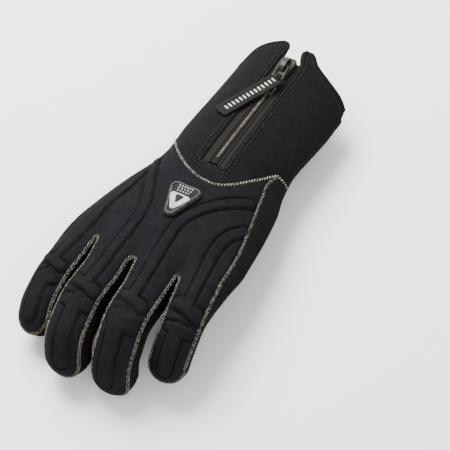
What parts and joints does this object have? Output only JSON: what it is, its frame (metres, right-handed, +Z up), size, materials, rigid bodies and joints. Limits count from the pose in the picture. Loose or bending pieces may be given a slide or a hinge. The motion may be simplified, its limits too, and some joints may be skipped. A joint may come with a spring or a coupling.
{
  "type": "diving glove",
  "caption": "Neoprene diving glove for a left hand, lying palm down, with bone-like relief on its back, a zipped cuff and a triangular badge.",
  "frame": {"origin": "on the floor, under the middle of the glove's bounding box", "axes": "+Z up out of the back of the hand, -Y toward the fingertips, +Y toward the cuff's opening, -X toward the thumb's side"},
  "size_m": [0.1194, 0.2926, 0.056],
  "materials": {
    "neoprene": "matte nylon jersey on neoprene foam",
    "neoprene_palm": "matte jersey with printed grip dashes",
    "neoprene_strip": "smooth matte jersey",
    "zip_tape": "woven polyester tape",
    "zip_teeth": "moulded",
    "gunmetal": "gunmetal lacquer",
    "pull_rubber": "moulded, matte",
    "badge_rim": "pewter-grey, satin",
    "badge_face": "light pewter-grey, satin"
  },
  "bodies": {
    "root": {"back_panel": "neoprene", "palm_panel": "neoprene_palm", "index_side_strip": "neoprene_strip", "middle_side_strip": "neoprene_strip", "ring_side_strip": "neoprene_strip", "little_side_strip": "neoprene_strip", "thumb_back": "neoprene_strip", "thumb_front": "neoprene_palm", "cuff": "neoprene", "zip_tape_thumb_side": "zip_tape", "zip_tape_far_side": "zip_tape", "zip_chain": "zip_teeth", "zip_slider": "gunmetal", "zip_pull_link": "gunmetal", "zip_pull_tab": "pull_rubber", "badge_base": "badge_rim", "badge_inset": "badge_face"}
  },
  "joints": []
}
